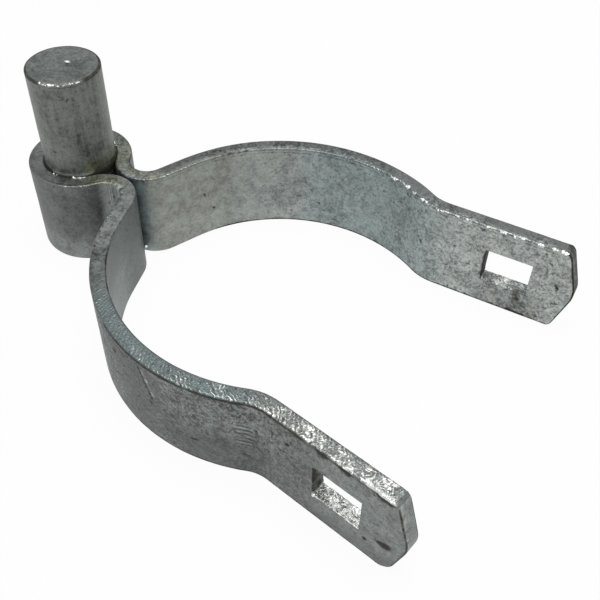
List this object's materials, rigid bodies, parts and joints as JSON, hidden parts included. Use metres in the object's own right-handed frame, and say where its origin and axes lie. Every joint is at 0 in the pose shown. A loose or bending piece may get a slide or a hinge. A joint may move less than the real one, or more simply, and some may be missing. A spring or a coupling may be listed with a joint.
{
  "type": "gate post hinge",
  "caption": "Galvanised gate post hinge: a flat bar bent round a fixed upright pin and bowed to clamp a round post, with slotted ears for a cross bolt.",
  "frame": {"origin": "on the post's axis, level with the strap's lower edge, on which the part stands", "axes": "+Z along the post and the pin, +X from the post towards the ears, so the pin stands on the -X side"},
  "size_m": [0.1402, 0.0904, 0.0525],
  "materials": {
    "strap_zinc": "hot-dip galvanised, weathered matt grey",
    "pin_zinc": "hot-dip galvanised, weathered matt grey"
  },
  "bodies": {
    "root": {"strap": "strap_zinc", "pin": "pin_zinc"}
  },
  "joints": []
}
